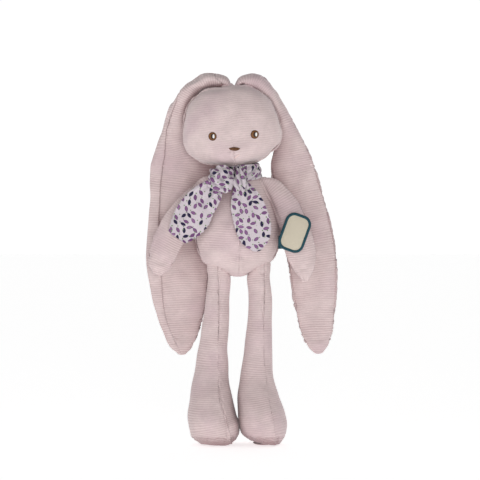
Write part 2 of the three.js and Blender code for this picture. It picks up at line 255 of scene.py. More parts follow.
# Needlecord colours: the crest is paler where the pile is rubbed, and the groove colour is partly painted
# shade in the grooves
CORD_CREST = linear(213, 195, 194)
CORD_GROOVE = linear(193, 170, 171)
# The colour of the shade painted in seams, tucks, gathers and creases
CORD_CREASE_SHADE = tuple(0.5 * value for value in CORD_GROOVE)


def corduroy(name, contrast=1.0, hollow=(0.46, 0.36, 0.37), reach=0.014):
    """Needlecord: ribs paler where their pile is rubbed, painted shade in the grooves, at seams and creases
    and in hollows, and a short uneven pile.
    """
    surface = Surface(name, roughness=0.92, sheen=0.3, sheen_roughness=0.45)
    place = surface.attribute("place", "Vector")
    pile = surface.noise(place, 2.4, 3.0)
    strands = surface.noise(place, (0.35, 0.35, 1.3))
    worn = surface.remap(surface.noise(place, (0.05, 0.05, 0.11), 3.0), 0.3, 0.7, 0.35, 1.1)
    # Painted shade in the rib grooves, stronger in the rubbed patches
    groove = surface.math("SUBTRACT", 1.0, surface.remap(surface.attribute("rib"), -1.0, 0.55))
    groove = surface.times(groove, surface.times(worn, contrast))
    colour = surface.mix(CORD_CREST, CORD_GROOVE, groove)
    colour = surface.mix(colour, linear(196, 170, 178), surface.noise(place, 0.035), 0.45, 0.75, 0.0, 0.45)
    colour = surface.shade(colour, surface.noise(place, 0.11), 0.3, 0.7, 0.955, 1.035)
    colour = surface.shade(colour, strands, 0.25, 0.75, 0.96, 1.035)
    colour = surface.shade(colour, pile, 0.2, 0.8, 0.94, 1.05)
    # Painted shade along seams, tucks, gathers and creases
    colour = surface.mix(colour, CORD_CREASE_SHADE, surface.attribute("crease"), 0.05, 1.0, 0.0, 0.3)
    # Painted shade: the colour darkens towards the hollow shade where nearby cloth closes a place in
    tone = surface.mix(hollow, (1.0, 1.0, 1.0), surface.openness(reach), 0.05, 0.72)
    colour = surface.mix(colour, tone, 1.0, blend="MULTIPLY")
    return surface.finish(colour, surface.math("ADD", pile, surface.times(strands, 0.6)), 0.00016)


def thread(name, base, depth=0.75, rim=None, fibres=(0.88, 1.1)):
    """Embroidery thread: a soft gloss, painted shade between the strands, and of another colour round the
    rim.
    """
    surface = Surface(name, roughness=0.5, sheen=0.15)
    fibre = surface.noise(surface.attribute("place", "Vector"), 5.0)
    if rim:
        base = surface.mix(base, rim, surface.attribute("rim"), 0.68, 0.88)
    # Painted shade between the strands
    colour = surface.shade(base, surface.attribute("strand"), -1.0, 0.6, depth, 1.0)
    return surface.finish(surface.shade(colour, fibre, 0.25, 0.75, *fibres), fibre, 0.00005)


def weave(surface, flat, pitch):
    """The height of a plain weave with that pitch in millimetres, from flat cloth coordinates."""
    warp, weft = (surface.math("SINE", surface.times(way, TURN / pitch)) for way in surface.split(flat)[:2])
    return surface.times(warp, weft)


def printed_cotton():
    """Pale lilac cotton with small purple and ink-blue leaves round green buds, and painted shade in its
    folds and hollows.
    """
    surface = Surface("printed_cotton", roughness=0.8, sheen=0.08)
    flat = surface.attribute("cloth", "Vector")
    yarn = weave(surface, flat, 0.42)
    fibre = surface.noise(flat, 1.6, 3.0)
    tone = surface.attribute("tone")
    inside = surface.attribute("leaf")
    purple = surface.mix(linear(112, 72, 115), linear(143, 101, 144), tone, 0.2, 1.0)
    purple = surface.mix(linear(98, 60, 104), purple, inside, 0.1, 0.55)
    leaf = surface.mix(linear(40, 34, 64), purple, tone, LEAF["dark"] - 0.02, LEAF["dark"])
    colour = surface.mix(linear(208, 199, 204), linear(195, 183, 191), fibre, 0.3, 0.7)
    colour = surface.mix(colour, leaf, inside, -0.07, 0.07)
    colour = surface.mix(colour, linear(112, 140, 98), surface.attribute("bud"), -0.06, 0.06)
    # Painted shade in the folds
    colour = surface.shade(colour, surface.attribute("crease"), 0.05, 1.0, 1.0, 0.6)
    # Painted shade where nearby cloth closes a place in
    colour = surface.shade(colour, surface.openness(0.006), 0.05, 0.75, 0.5, 1.0)
    colour = surface.shade(colour, yarn, -1.0, 1.0, 0.96, 1.03)
    return surface.finish(colour, surface.math("ADD", yarn, surface.times(fibre, 0.8)), 0.00006)


def label_cloth():
    """Cream damask: a fine plain weave with a soft slub."""
    surface = Surface("label_cloth", roughness=0.75, sheen=0.1)
    flat = surface.attribute("cloth", "Vector")
    yarn = weave(surface, flat, 0.5)
    slub = surface.noise(flat, (0.5, 3.0, 1.0))
    colour = surface.mix(linear(192, 182, 162), linear(214, 205, 187), yarn, -1.0, 1.0)
    colour = surface.shade(colour, slub, 0.3, 0.7, 0.95, 1.03)
    return surface.finish(colour, surface.math("ADD", yarn, slub), 0.0001)


# ---------------------------------------------------------------- curves, noise and boxes

def circle(count):
    """Turns that go evenly round a circle once."""
    return np.linspace(0, TURN, count, endpoint=False)


def unit(vectors):
    return vectors / np.maximum(np.linalg.norm(vectors, axis=-1, keepdims=True), 1e-9)


def bell(distance, width):
    """1 at no distance, falling smoothly to nothing."""
    return np.exp(-((distance / width) ** 2))


def curve(keys, values, at):
    """A smooth curve through values at rising keys, read at new places. The values may be arrays."""
    keys = np.asarray(keys, float)
    values = np.asarray(values, float)
    wide = (slice(None),) + (None,) * (values.ndim - 1)
    step = np.diff(keys)[wide]
    rise = np.diff(values, axis=0) / step
    inner = (rise[:-1] * step[1:] + rise[1:] * step[:-1]) / (step[1:] + step[:-1])
    slope = np.concatenate([rise[:1], inner, rise[-1:]])
    at = np.clip(at, keys[0], keys[-1])
    i = np.clip(np.searchsorted(keys, at, side="right") - 1, 0, len(keys) - 2)
    h = step[i]
    t = ((at - keys[i]) / np.diff(keys)[i])[wide]
    return (
        values[i] * (1 + 2 * t) * (1 - t) ** 2
        + slope[i] * h * t * (1 - t) ** 2
        + values[i + 1] * t * t * (3 - 2 * t)
        + slope[i + 1] * h * t * t * (t - 1)
    )


def ripple(points, wavelength, seed, waves=7):
    """Smooth seeded noise of about that wavelength, mostly from -1 to 1, at some lengths or 3-D places."""
    rng = np.random.default_rng(seed)
    points = np.asarray(points, float)
    if points.shape[-1] != 3:
        points = points[..., None] * (1, 0, 0)
    total = np.zeros(points.shape[:-1])
    for _ in range(waves):
        direction = rng.normal(size=3)
        direction /= np.linalg.norm(direction)
        direction[0] += math.copysign(0.4, direction[0])
        length = wavelength * rng.uniform(0.75, 1.5)
        total += np.sin(points @ direction * (TURN / length) + rng.uniform(0, TURN))
    return total / math.sqrt(waves)


def cad_box(*nodes):
    """The lowest and highest corner of some CAD nodes together, in millimetres."""
    lows, highs = zip(*(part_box(node) for node in nodes))
    return np.min(lows, axis=0) / MM, np.max(highs, axis=0) / MM


# ---------------------------------------------------------------- grids

def closed(grid):
    """A grid's inner rows as one list, and then the middle of its first row and of its last."""
    ends = np.stack([grid[0].mean(axis=0), grid[-1].mean(axis=0)])
    return np.concatenate([grid[1:-1].reshape(-1, *grid.shape[2:]), ends])


def grid_faces(rows, columns, ring=False):
    """The faces of a grid whose rows join up in a ring, or else of one closed by two points after its own."""
    index = np.arange(rows * columns).reshape(rows, columns)
    below = np.roll(index, -1, axis=0)
    faces = np.stack([index, np.roll(index, -1, axis=1), np.roll(below, -1, axis=1), below], axis=-1)
    if ring:
        return faces.reshape(-1, 4).tolist()
    first = [[index.size, *side] for side in faces[0][:, (1, 0)].tolist()]
    last = [[index.size + 1, *side] for side in faces[-2][:, (3, 2)].tolist()]
    return faces[:-1].reshape(-1, 4).tolist() + first + last


def make_object(name, grid, material, values, ring=False):
    """A smooth object over a grid of points in millimetres, facing outwards, with values at its points.

    A ring's last row joins its first. Any other grid is closed by a point in the middle of each end row."""
    rows, columns = grid.shape[:2]
    faces = grid_faces(rows, columns, True) if ring else grid_faces(rows - 2, columns)
    values = {**values, "place": grid}
    for label, data in values.items():
        data = np.broadcast_to(data, (rows, columns, *data.shape[2:]))
        values[label] = data.reshape(-1, *data.shape[2:]) if ring else closed(data)
    points = values["place"]
    mesh = bpy.data.meshes.new(name)
    mesh.from_pydata((points * MM).tolist(), [], faces)
    mesh.update()
    corners = np.array([face[:3] for face in faces])
    a, b, c = (points[corners[:, k]] - points.mean(axis=0) for k in range(3))
    if np.einsum("ij,ij->", a, np.cross(b, c)) < 0:
        mesh.flip_normals()
    mesh.polygons.foreach_set("use_smooth", [True] * len(mesh.polygons))
    for label, data in values.items():
        kind, field = ("FLOAT", "value") if data.ndim == 1 else ("FLOAT_VECTOR", "vector")
        mesh.attributes.new(label, kind, "POINT").data.foreach_set(field, data.astype(np.float32).ravel())
    mesh.materials.append(material)
    piece = add_object(name, mesh)
    return piece


def there_and_back(rings):
    """Shares of the way from a flat piece's middle to its edge and back, and the side that each lies on."""
    out = np.linspace(0, 1, rings)
    return np.concatenate([out, out[::-1]])[:, None], np.repeat((1, -1), rings)[:, None]


# ---------------------------------------------------------------- stuffed parts

def settle(points, faces, pinned):
    """Runs Blender's cloth on a closed skin with some points held, and gives how far each point moves."""
    mesh = bpy.data.meshes.new("cloth")
    mesh.from_pydata((points * SIM_SCALE).tolist(), [], faces)
    mesh.update()
    cloth = add_object("cloth", mesh)
    group = cloth.vertex_groups.new(name="pinned")
    group.add(pinned, 1.0, "REPLACE")
    modifier = cloth.modifiers.new("cloth", "CLOTH")
    assign(modifier.settings, vertex_group_mass=group.name, **SIM_CLOTH)
    modifier.settings.effector_weights.gravity = 0.0
    modifier.collision_settings.use_collision = False
    assign(modifier.point_cache, frame_start=1, frame_end=SIM_FRAMES)
    for step in range(1, SIM_FRAMES + 1):
        bpy.context.scene.frame_set(step)
    result = cloth.evaluated_get(bpy.context.evaluated_depsgraph_get()).data
    after = np.empty(len(points) * 3, np.float32)
    result.vertices.foreach_get("co", after)
    bpy.data.objects.remove(cloth)
    bpy.data.meshes.remove(mesh)
    bpy.context.scene.frame_set(1)
    return after.reshape(-1, 3) / SIM_SCALE - points


class Seam:
    """A sewn line down a part, at an angle from its front middle or through some (height, across) points."""

    def __init__(self, at, show=1.0, depth=SEAM_DEPTH, pucker=PUCKER):
        self.at = at
        self.show = show  # a number, or (height, strength) points from the top down
        self.depth = depth
        self.pucker = pucker

    def angles(self, part):
        if not isinstance(self.at, list):
            return np.full(len(part.s), math.radians(self.at))
        heights, places = np.array(self.at, float).T
        across = curve(-heights, places, -part.centre[:, 2]) + MIDDLE[0]
        return np.arcsin(np.clip((across - part.centre[:, 0]) / part.width, -0.98, 0.98))

    def strength(self, part):
        if not isinstance(self.show, list):
            return np.full(len(part.s), float(self.show))
        heights, values = np.array(self.show, float).T
        return np.interp(-part.centre[:, 2], -heights, values)


def rounded(table):
    """The sections, with a few shrinking ones added beyond both ends, so that the part closes in a dome."""
    table = np.array(table, float)
    domes = []
    for end, beyond in ((table[0], table[1]), (table[-1], table[-2])):
        direction = unit((end[:3] - beyond[:3]) * (1, 0, 1))
        reach = min(0.6 * min(end[3:]), DOME)
        turns = np.radians(DOME_TURNS)[:, None]
        domes.append(np.hstack([end[:3] + direction * reach * np.sin(turns), end[3:] * np.cos(turns)]))
    return np.concatenate([domes[0][::-1], table, domes[1]])


class Part:
    """A closed soft part: a grid of points in millimetres, with its creases and the shade painted in them,
    its ribs and seams.
    """

    def __init__(self, sections, nodes, seams, lead=(), tilt=0, ease=(0, 0), row=ROW, column=COLUMN):
        self.pattern = (sections, nodes, seams, lead, tilt, ease)
        self.nodes = nodes
        self.seams = seams
        table = rounded([*lead, *sections])
        centre = table[:, :3] + MIDDLE
        along = unit(np.gradient(centre, axis=0) * (1, 0, 1))
        front = centre - BACK * table[:, 4:5]
        steps = np.linalg.norm(np.diff(front, axis=0), axis=1)
        steps = np.maximum(steps, np.abs(np.diff(table[:, 3])) * 0.7)
        keys = np.concatenate([[0], np.cumsum(np.maximum(steps, 0.05))])
        self.s = np.linspace(0, keys[-1], int(round(keys[-1] / row)) + 1)
        self.centre = curve(keys, centre, self.s)
        self.across = np.cross(unit(curve(keys, along, self.s)), BACK)
        self.width, depth = np.maximum(curve(keys, table[:, 3:], self.s), 0.05).T
        self.place_columns(column, self.width + depth)
        sideways = self.across[:, None] * (self.width[:, None] * np.sin(self.angle))[..., None]
        forward = BACK * (depth[:, None] * np.cos(self.angle))[..., None]
        self.points = self.centre[:, None] + sideways - forward
        # How much shade is painted at each point for its crease, from 0 to 1
        self.crease = np.zeros(self.angle.shape)
        if tilt:
            self.turn(math.radians(tilt))
        if nodes:
            domes = len(DOME_TURNS)
            first, last = keys[domes + len(lead)], keys[-1 - domes]
            self.fit(nodes, (self.s >= first - 0.01) & (self.s <= last + 0.01), ease)
        self.lay_flat()

    def place_columns(self, column, girth):
        """Spreads the columns from seam to seam, closer together beside the seams."""
        lines = np.array([seam.angles(self) for seam in self.seams])
        spans = np.diff(np.concatenate([lines, lines[:1] + TURN]), axis=0)
        self.seam_columns = []
        self.panel = []
        angles = []
        for index, (line, span) in enumerate(zip(lines, spans)):
            count = max(int(round(math.pi * girth.max() * span.mean() / TURN / column)), 4)
            t = np.arange(count) / count
            t = t - 0.8 * np.sin(TURN * t) / TURN
            self.seam_columns.append(len(self.panel))
            self.panel += [index] * count
            angles.append(line[:, None] + span[:, None] * t)
        self.panel = np.array(self.panel)
        self.angle = np.concatenate(angles, axis=1)

    def turn(self, lean):
        """Leans the part sideways about its middle."""
        cosine, sine = math.cos(lean), math.sin(lean)
        matrix = np.array([[cosine, 0, -sine], [0, 1, 0], [sine, 0, cosine]])
        middle = self.centre.mean(axis=0)
        self.points = (self.points - middle) @ matrix.T + middle
        self.centre = (self.centre - middle) @ matrix.T + middle

    def fit(self, nodes, rows, ease):
        """Scales and moves the part so that these rows fill the box of its CAD nodes, eased at its sides."""
        low, high = cad_box(*nodes)
        low[0] -= ease[0]
        high[0] += ease[1]
        shown = self.points[rows].reshape(-1, 3)
        scale = (high - low) / (shown.max(axis=0) - shown.min(axis=0))
        shift = low - shown.min(axis=0) * scale
        self.points, self.centre = (spots * scale + shift for spots in (self.points, self.centre))

    def lay_flat(self):
        """Cloth coordinates: the distance round from the front middle, and the length along the part."""
        ring = np.linalg.norm(np.roll(self.points, -1, axis=1) - self.points, axis=2)
        self.girth = ring.sum(axis=1, keepdims=True)
        self.ring_at = np.cumsum(ring, axis=1) - ring
        turn = (self.angle + math.pi) % TURN - math.pi
        front = np.argmin(np.abs(turn), axis=1)[:, None]
        self.u = self.way_round(np.take_along_axis(self.ring_at, front, axis=1))

    def way_round(self, home):
        """The shorter way round the part to each point, from some places round it."""
        return (self.ring_at - home + self.girth / 2) % self.girth - self.girth / 2

    def push(self, amount):
        """Moves every point along its normal. The ends taper off, so that they stay round."""
        down = np.gradient(self.points, axis=0)
        turn = np.roll(self.points, -1, axis=1) - np.roll(self.points, 1, axis=1)
        normal = unit(np.cross(turn, down))
        outward = ((self.points - self.centre[:, None]) * normal).sum()
        taper = np.clip(self.width / 2.5, 0, 1)[:, None] * (1 if outward > 0 else -1)
        self.points = self.points + normal * (amount * taper)[..., None]

    def inflate(self):
        """Fills the cloth between its seams and ends, by simulation on a coarser grid of the same shape."""
        coarse = Part(*self.pattern, row=SIM_STEP, column=SIM_STEP)
        index = np.arange(coarse.angle[1:-1].size).reshape(-1, len(coarse.panel))
        ends = index[[*range(SIM_PINNED_ROWS), *range(-SIM_PINNED_ROWS, 0)]].ravel()
        held = [ends, [index.size, index.size + 1]]
        for seam, column in zip(coarse.seams, coarse.seam_columns):
            held.append(index[seam.strength(coarse)[1:-1] > 0.3, column])
        pinned = np.unique(np.concatenate(held)).tolist()
        moved = settle(closed(coarse.points), grid_faces(*index.shape), pinned)
        moved = moved[: index.size].reshape(*index.shape, 3)
        moved = unit(moved) * SIM_MOST * np.tanh(np.linalg.norm(moved, axis=2, keepdims=True) / SIM_MOST)
        moved = curve(coarse.s, np.concatenate([moved[:1], moved, moved[-1:]]), self.s)
        moved = np.concatenate([moved, moved[:, :1]], axis=1).swapaxes(0, 1)
        own = [*self.seam_columns, len(self.panel)]
        columns = np.interp(np.arange(len(self.panel)), own, [*coarse.seam_columns, len(coarse.panel)])
        self.points = self.points + curve(np.arange(len(moved)), moved, columns).swapaxes(0, 1)

    def sew(self, seed):
        """Pulls every seam in: a narrow groove with shade painted in it, puckers across it, and the cloth
        full beside it.
        """
        push = np.zeros(self.crease.shape)
        for index, (seam, column) in enumerate(zip(self.seams, self.seam_columns)):
            gap = np.abs(self.way_round(self.ring_at[:, column : column + 1]))
            share = (seam.strength(self) * np.clip(self.width / 9, 0, 1))[:, None]
            groove = bell(gap, SEAM_WIDTH) * share
            waves = ripple(self.s, PUCKER_LENGTH, seed + index)[:, None]
            puckers = waves * np.exp(-gap / PUCKER_REACH) * share
            plump = bell(gap - PLUMP_AT, PLUMP_WIDTH) * share
            push += -seam.depth * groove + seam.pucker * puckers + 0.2 * seam.depth * plump
            self.crease = np.maximum(self.crease, groove)
        self.push(push)

    def gather(self, folds, depth, reach):
        """Small folds that run into the part's lower end, as where a tip is sewn up, with shade painted in
        their hollows.
        """
        fade = bell(self.s[-1] - self.s, reach)[:, None]
        rng = np.random.default_rng(3)
        turn = self.angle * folds + rng.uniform(0.5, 1.5) * np.sin(self.angle * 3 + rng.uniform(0, 6))
        self.push(depth * fade * (np.cos(turn) - 0.6))
        self.crease = np.maximum(self.crease, 0.5 * fade * np.clip(-np.cos(turn), 0, 1))

    def press(self, height, stretch, least):
        """Presses the part on the floor: its end is stretched down below a height, and then kept level."""
        down = height - (height - self.points[..., 2]) * stretch
        self.points[..., 2] = np.where(down < height, np.maximum(down, least), self.points[..., 2])

    def tuck(self, start, end, depth, width):
        """A sewn-down line across the part's front, between two (x, z) places, with shade painted along it in
        dashes at the stitches.
        """
        flat = self.points[..., (0, 2)] - MIDDLE[[0, 2]] - start
        line = np.subtract(end, start)
        along = np.clip(flat @ line / (line @ line), 0, 1)
        gap = np.linalg.norm(flat - along[..., None] * line, axis=-1)
        groove = bell(gap, width) * np.clip(2 * np.cos(self.angle), 0, 1)
        stitches = 0.75 + 0.25 * np.cos(TURN * along * np.linalg.norm(line) / STITCH)
        self.push(-depth * groove)
        self.crease = np.maximum(self.crease, groove * stitches)

    def girdle(self, height, depth, seed):
        """A seam right round the part at a height, with the cloth gathered a little into it and shade painted
        in its groove.
        """
        above = self.points[..., 2] - height - 0.25 * ripple(self.points, 9, seed)
        groove = bell(above, 0.8) * (0.6 + 0.4 * ripple(self.u, 4, seed + 1))
        gathers = bell(above, 2.6) * ripple(self.u, 3.4, seed)
        self.push(-depth * groove + 0.55 * depth * gathers)
        self.crease = np.maximum(self.crease, 0.35 * groove)

    def cord(self, seed):
        """Raises wavy ribs, which don't meet across a seam, and gives their height from -1 to 1."""
        offsets = np.random.default_rng(seed).uniform(0, 1, len(self.seams))[self.panel]
        rib = np.cos(TURN * (self.s[:, None] / RIB + offsets + 0.22 * ripple(self.points, 30, seed)))
        self.push(RIB_HEIGHT * rib * (1 - 0.7 * self.crease))
        return rib


# Each section is [x, y, z, half width, half depth]. A part's sections are listed from its top down.

HEAD = [
    [-8.4, 0, 243.2, 4, 3], [-8.3, 0, 241.8, 13, 10], [-8.2, 0, 238.8, 20.5, 15], [-8.0, 0, 233.2, 26.8, 19],
    [-7.6, 0, 224.5, 31, 22.5], [-7.0, 0, 214, 33, 24], [-6.5, 0, 205.5, 33.6, 24],
    [-6.2, 0, 198.5, 30.5, 23.6], [-5.9, 0, 193.5, 24, 22], [-5.7, 0, 190.2, 17, 19.4],
    [-5.6, 0, 188.6, 12, 15.6],
]
HEAD_TILT = 2.6  # degrees, the doll's left side higher
TORSO = [
    [-4.2, 0, 186, 10.5, 9.5], [-4.0, 0, 182, 15, 11.5], [-3.8, 0, 175.5, 18.4, 12.8],
    [-3.5, 0, 168, 21.8, 14.6], [-3.2, 0, 161, 24.8, 16.6], [-3.0, 0, 155, 27.0, 18.6],
    [-2.9, 0, 146, 28.4, 20], [-2.8, 0, 138, 27.4, 19.8], [-2.8, 0, 129.5, 25, 18],
    [-2.7, 0, 124.5, 22, 15.8], [-2.6, 0, 121.0, 17.6, 12.8], [-2.6, 0, 118.2, 12, 9],
    [-2.6, 0, 116.2, 7, 5.2],
]
NECK = [
    [-5, 0, 190.2, 5, 4.5], [-5, 0, 188, 8, 7], [-4.6, 0, 184, 8, 7], [-4.6, 0, 181.5, 5.5, 5],
]
EARS = {
    "left": [
        [-1.8, 4, 245.6, 3.4, 7], [3, 5, 246.2, 4.5, 8.5], [9, 7, 245.2, 5.4, 9.5],
        [16.2, 10.5, 238.6, 5.1, 9], [23.3, 15.5, 228.3, 4.9, 7.8], [30.4, 19.5, 212.5, 6.6, 6.2],
        [32.4, 20, 200, 11.2, 5.2], [33.2, 20, 192, 14, 4.8], [35, 19.8, 183, 15.4, 4.4],
        [37.6, 19.5, 171, 16.3, 3.9], [43, 19, 149, 17.2, 3.6], [47.3, 18.5, 128, 17, 3.5],
        [49.1, 18.5, 110, 16, 3.4], [49.8, 18.5, 97, 14.8, 3.3], [50.5, 18.5, 84, 12.5, 3.2],
        [51.6, 18.5, 71, 9.6, 2.9], [52.2, 18.5, 64, 6.4, 2.4], [52.4, 18.5, 60.6, 3.4, 1.8],
    ],
    "right": [
        [-10, 4, 244.8, 3.2, 7], [-14.5, 5, 245.8, 4.8, 8.5], [-21.5, 6.5, 246.2, 5.4, 9.5],
        [-31.5, 9, 242.2, 5.0, 9.5], [-41, 13.5, 230.5, 6.6, 8], [-43.6, 18.5, 211, 11.8, 5.6],
        [-41.6, 20, 198, 20, 4.8], [-39.4, 20, 188, 23.6, 4.3], [-43.6, 19.5, 166, 19.6, 3.8],
        [-44.2, 19, 142.5, 20.6, 3.6], [-43.9, 18.5, 121, 21.5, 3.5], [-42.7, 18.5, 104, 19.6, 3.4],
        [-41.9, 18.5, 84, 15.3, 3.2], [-41, 18.5, 68.5, 9.2, 2.8], [-40.8, 18.5, 63.5, 6.2, 2.3],
        [-40.7, 18.5, 60.6, 3.2, 1.8],
    ],
}
ARMS = {
    "left": [
        [15, -2.6, 178.4, 4.4, 5.2], [19.8, -3.2, 175.8, 6, 6.4], [24.6, -3.8, 170.4, 7, 7],
        [28.9, -4.6, 163.8, 8, 7.4], [32.7, -5.4, 156.4, 8.8, 7.6], [35.9, -6, 147.7, 9.0, 7.4],
        [38.3, -6.5, 139, 9.4, 7.3], [40, -6.8, 130.5, 9.2, 7], [41.3, -7, 123, 7.6, 6.2],
        [42.4, -7, 116.5, 5, 4.6], [42.8, -7, 113, 2.4, 2.4],
    ],
    "right": [
        [-23, -3, 179, 4.4, 4.8], [-26, -3.3, 174.8, 6, 6], [-31.6, -4, 167.4, 8, 6.8],
        [-38.5, -5, 158.8, 9.2, 7], [-45.5, -6, 149, 9.6, 7], [-51, -6.5, 138, 9.6, 7],
        [-55, -7, 127.5, 9, 6.6], [-57.2, -7, 120.5, 7.2, 5.2], [-58, -7, 117.4, 4.4, 3.2],
    ],
}
LEGS = {
    "left": [
        [11.3, 0, 114.6, 8.4, 7.4], [12.2, 0, 103, 8.4, 7.4], [12.5, 0, 90, 8.7, 8.4], [11.9, 0, 74, 9.4, 9],
        [10.7, -0.5, 58, 10.6, 9.8], [10, -2, 44, 12, 12.4], [11, -5.5, 30, 14.4, 17.5],
        [13.4, -7.5, 17, 16.5, 21.3], [14.8, -7.8, 9, 16.2, 20.6], [14.9, -7.8, 4.4, 14.5, 18.8],
        [14.6, -7.8, 1.8, 12.2, 16],
    ],
    "right": [
        [-16, 0, 114.6, 8.2, 7.4], [-17, 0, 103, 8.2, 7.4],
        [-17.6, 0, 90, 8.8, 8.4], [-19.2, 0, 74, 9.4, 9], [-20.6, -0.5, 58, 10.8, 9.8],
        [-21.4, -2, 44, 12.2, 12.4], [-21.4, -5.5, 30, 14.5, 17.5], [-20.6, -7.5, 17, 16.4, 21.3],
        [-18.5, -7.8, 9.5, 16.7, 20.6], [-17.7, -7.8, 4.6, 14.7, 18.8], [-17.6, -7.8, 1.8, 12, 16],
    ],
}
# Sections that lead each limb and ear on from its CAD solid into the part that it is sewn to
LEADS = {
    "ear_left": [[-5.6, 3, 241.4, 1.6, 5.5]],
    "ear_right": [[-7.2, 3, 241.2, 1.4, 5.5]],
    "arm_left": [[9.5, -2, 180.5, 3.4, 4.4]],
    "arm_right": [[-17.5, -2, 180.5, 3.4, 4.4]],
    "leg_left": [[12, 0, 126, 5, 5], [12, 0, 120, 7.7, 7]],
    "leg_right": [[-17, 0, 126, 5, 5], [-16.8, 0, 120, 8, 7.2]],
}
# How far each part's cloth lies outside its CAD box, to the doll's right and to its left
EASE = {
    "ear_left": (0.0, 0.4),
    "ear_right": (1.6, 0.4),
    "leg_left": (1.5, 0.9),
    "leg_right": (0.9, 2.3),
}
# Where the front of each arm is sewn down: from a place on the shoulder to one on the side, as (x, z)
ARM_STITCHES = {"left": ((13, 179.5), (25.4, 152.5)), "right": ((-20.5, 180), (-30, 162))}
ARM_SET_BACK = 3.6  # how far behind the torso's front an arm starts
EAR_FOLD = ((-18.8, 250.5), (-13.4, 243))  # where the right ear's arch is sewn down, as (x, z)
STITCH = 1.3  # pitch of the stitches along such a line
HIP = 113.2  # height at which a leg starts to bend
SOLE_SHOWN = 0.62  # share of a sole that the leg's rolled edge leaves bare
SOLE_SEAM = 5.0  # height of the seam between a leg and its sole
# Where each leg's front seam runs, as (height, across) points
LEG_SEAMS = {
    "left": [(115, 15), (92, 15), (50, 15.5), (30, 18.3), (11, 21.4), (0, 22.6)],
    "right": [(115, -17), (92, -16.2), (58, -16.9), (30, -15.5), (16, -11), (0, -7.5)],
}
EAR_SEAMS = {
    "left": [Seam(-90), Seam(90)],
    "right": [Seam(-90, show=0.0), Seam([(247, -40), (232, -44), (219, -49.5), (196, -52.5), (160, -56),
                                        (115, -54.5), (82, -50.5), (60, -41)], depth=0.3), Seam(90)],
}


def pieces_of(name, *pieces):
    return [f"{name}_{piece}" for piece in pieces]


def stuffed(name, part, seed, fill, slot="corduroy", sole=0.0, **look):
    """Makes a part's cover, which stands for its panels and its filling. A sole is the height of its seam."""
    part.inflate()
    part.push(LUMP * ripple(part.points, 15, seed))
    if sole:
        part.girdle(sole, 0.6, seed)
    part.sew(seed)
    values = {"rib": part.cord(seed), "crease": part.crease}
    cover = make_object(f"{name}_cover", part.points, corduroy(f"{name}_corduroy", **look), values)
    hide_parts(*sorted({*part.nodes, f"{name}_filling"}))
    return cover


def build_head():
    chin = Seam(0, show=[(250, 0), (204, 0), (200, 0.6), (180, 0.8)], depth=0.4, pucker=0.16)
    nodes = pieces_of("head", "face_panel", "back_panel")
    part = Part(HEAD, nodes, [Seam(-90), chin, Seam(90)], tilt=HEAD_TILT)
    part.push(0.35 * ripple(part.points, 26, 4))
    # The head has a paler painted shade in its hollows and fainter painted shade in its rib grooves
    head = stuffed("head", part, 11, 0.8, contrast=0.6, hollow=(0.88, 0.82, 0.82))
    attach(head, "head")
    return head


def build_torso():
    nodes = pieces_of("torso", "front_left_panel", "front_right_panel", "back_panel")
    part = Part(TORSO, nodes, [Seam(-90), Seam(2, show=0.5, depth=0.3), Seam(90)])
    for start, end in ARM_STITCHES.values():
        part.tuck(start, end, 0.5, 0.45)
    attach(stuffed("torso", part, 21, 0.75), "torso")
    neck = Part(NECK, ["neck_filling"], [Seam(90)])
    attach(stuffed("neck", neck, 31, 0.9, "filling"), "neck")


def limb(name, parent, part, sections, seed, fill, **look):
    """Makes a limb's cover, and bakes its place into its points."""
    cover = stuffed(name, part, seed, fill, **look)
    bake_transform(cover)


def build_ear(side, seed):
    name = f"ear_{side}"
    nodes = pieces_of(name, "root", "front_panel", "back_panel")
    part = Part(EARS[side], nodes, EAR_SEAMS[side], LEADS[name], ease=EASE[name], column=COLUMN * 0.7)
    if side == "right":
        part.tuck(*EAR_FOLD, 0.7, 0.6)
    # On the ears the painted shade of hollows reaches further, under the arms and beside the head
    limb(name, "head", part, EARS[side][2:5:2], seed, 0.35, reach=0.034)


def build_arm(side, seed):
    name = f"arm_{side}"
    nodes = pieces_of(name, "front_panel", "back_panel")
    part = Part(ARMS[side], nodes, [Seam(-90), Seam(90)], LEADS[name], column=COLUMN / 2)
    back = ARM_SET_BACK * bell(part.s, 30)
    part.points[..., 1] += back[:, None]
    part.centre[:, 1] += back
    part.gather(7, 0.5, 5)
    part.tuck(*ARM_STITCHES[side], 0.5, 0.6)
    limb(name, "torso", part, ARMS[side][1:4:2], seed, 0.6)


def build_leg(side, seed):
    name = f"leg_{side}"
    nodes = pieces_of(name, "inner_panel", "outer_panel")
    seams = [Seam(LEG_SEAMS[side], depth=0.14, pucker=0.08), Seam(180)]
    part = Part(LEGS[side], nodes, seams, LEADS[name], ease=EASE[name])
    part.press(SOLE_SEAM / 2, 1.9, 0.35)
    hip = (LEGS[side][0][0], 0, HIP)
    limb(name, "torso", part, (hip, LEGS[side][1]), seed, 0.7, sole=SOLE_SEAM)


def build_sole(side):
    """The flat sole under a foot: a thin oval of cloth with a rounded edge and ribs across it."""
    leg = f"leg_{side}"
    low, high = cad_box(f"{leg}_sole")
    middle = (low + high) / 2
    reach = (high - low) / 2
    share, face = there_and_back(46)
    turn = circle(120)
    x = middle[0] + SOLE_SHOWN * reach[0] * share * np.cos(turn)
    y = middle[1] + SOLE_SHOWN * reach[1] * share * np.sin(turn)
    rib = np.cos(TURN * y / RIB)
    edge = share**7
    under = low[2] + 1.9 * reach[2] * edge + 0.05 * (1 - rib) * (1 - edge)
    grid = np.stack([x, y, np.where(face > 0, under, high[2])], axis=-1)
    values = {"rib": rib, "crease": 0 * rib}
    sole = make_object(f"sole_{side}_cover", grid, corduroy(f"sole_{side}_corduroy"), values)
    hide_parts(f"{leg}_sole")
    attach(sole, leg)


